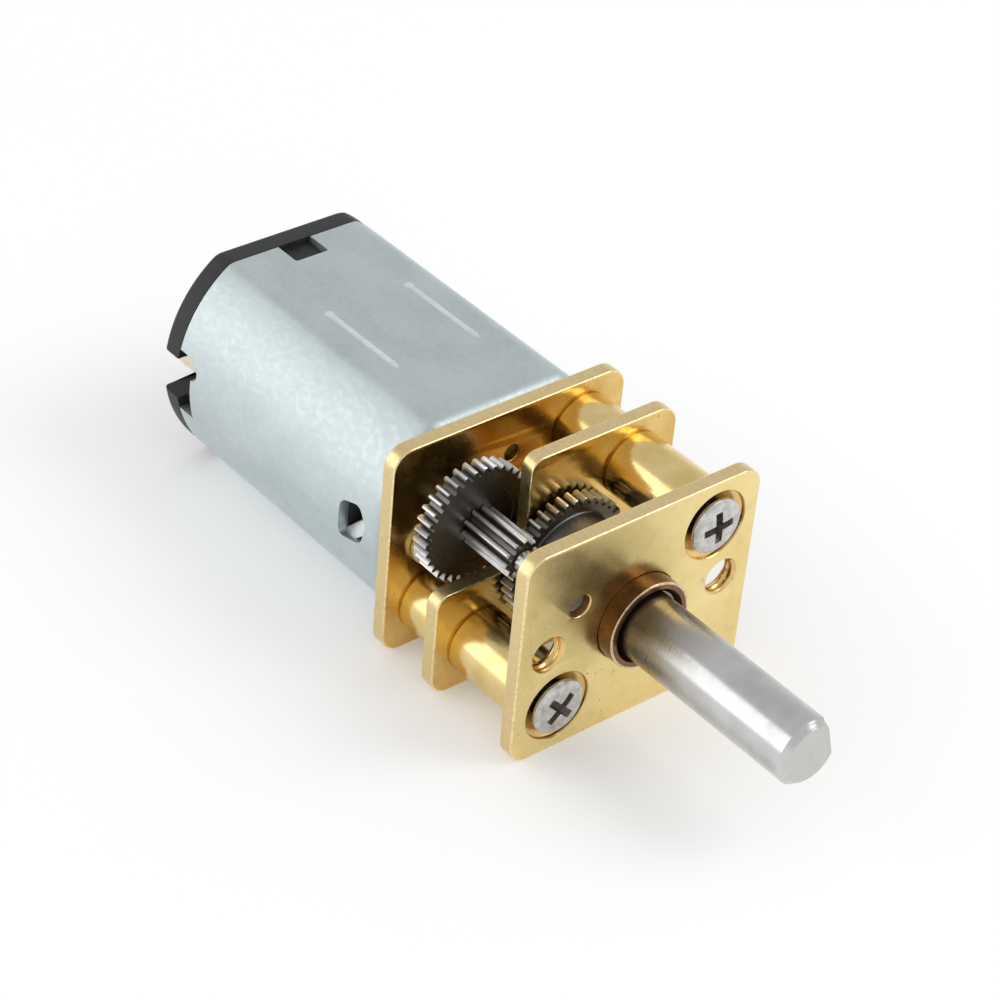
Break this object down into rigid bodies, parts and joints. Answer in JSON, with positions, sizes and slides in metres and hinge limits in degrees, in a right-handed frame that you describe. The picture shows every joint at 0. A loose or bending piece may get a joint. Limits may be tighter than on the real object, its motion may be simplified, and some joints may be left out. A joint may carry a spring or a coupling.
{
  "type": "geared dc motor",
  "caption": "Miniature flat-sided brushed DC motor with an open brass-plate spur gearbox and a D-cut output shaft.",
  "frame": {"origin": "centre of the output shaft's end face", "axes": "+X out along the output shaft, +Y across the 12 mm width, +Z the normal of the can's upper flat"},
  "size_m": [0.036, 0.012, 0.01],
  "materials": {
    "plate_brass": "polished sheet brass with sheared edges and darker heat-tinted reflections",
    "sintered_bronze": "satin copper-coloured sintered metal",
    "shaft_steel": "ground steel with fine lengthways marks",
    "gear_steel": "dark turned faces with bright cut teeth",
    "bright_steel": "bright zinc-plated steel",
    "zinc_plated_steel": "pale blue-grey zinc plate, faintly mottled",
    "black_plastic": "moulded, semi-matt",
    "tinned_brass": "thin tinned strip",
    "pinion_brass": "cut brass",
    "ferrite": "dull sintered magnet",
    "core_steel": "stacked laminations",
    "enamelled_wire": "enamelled copper wire",
    "commutator_copper": "turned copper",
    "white_plastic": "moulded, matt"
  },
  "bodies": {
    "housing": {"front_plate": "plate_brass", "middle_plate": "plate_brass", "rear_plate": "plate_brass", "long_spacer_left": "plate_brass", "long_spacer_right": "plate_brass", "short_spacer_left": "plate_brass", "short_spacer_right": "plate_brass", "gearbox_screw_left": "bright_steel", "gearbox_screw_right": "bright_steel", "motor_screw_left": "bright_steel", "motor_screw_right": "bright_steel", "front_bush": "sintered_bronze", "idler_arbor": "bright_steel", "motor_can": "zinc_plated_steel", "end_cap": "black_plastic", "front_bearing": "sintered_bronze", "rear_bearing": "sintered_bronze", "terminal_left": "tinned_brass", "terminal_right": "tinned_brass", "brush_left": "tinned_brass", "brush_right": "tinned_brass", "magnet_left": "ferrite", "magnet_right": "ferrite"},
    "output": {"output_shaft": "shaft_steel", "output_gear": "gear_steel", "thrust_washer": "bright_steel"},
    "idler": {"idler_gear": "gear_steel", "idler_pinion": "gear_steel"},
    "rotor": {"motor_shaft": "bright_steel", "motor_pinion": "pinion_brass", "armature_core": "core_steel", "core_insulator_front": "white_plastic", "core_insulator_rear": "white_plastic", "winding_1": "enamelled_wire", "winding_2": "enamelled_wire", "winding_3": "enamelled_wire", "commutator_hub": "white_plastic", "commutator_segment_1": "commutator_copper", "commutator_segment_2": "commutator_copper", "commutator_segment_3": "commutator_copper", "rotor_washer_front": "white_plastic", "rotor_washer_rear": "white_plastic"}
  },
  "joints": [
    {"name": "output_spin", "type": "hinge", "parent": "housing", "child": "output", "pos_m": [0, 0, 0], "axis": [1, 0, 0], "continuous": true},
    {"name": "idler_spin", "type": "hinge", "parent": "housing", "child": "idler", "pos_m": [0, -0.00312, 0.0018], "axis": [1, 0, 0], "continuous": true},
    {"name": "rotor_spin", "type": "hinge", "parent": "housing", "child": "rotor", "pos_m": [0, 0, 0], "axis": [1, 0, 0], "continuous": true}
  ],
  "couplings": [
    {"joint": "idler_spin", "follows": "output_spin", "ratio": -3.8},
    {"joint": "rotor_spin", "follows": "output_spin", "ratio": 9.2286}
  ]
}
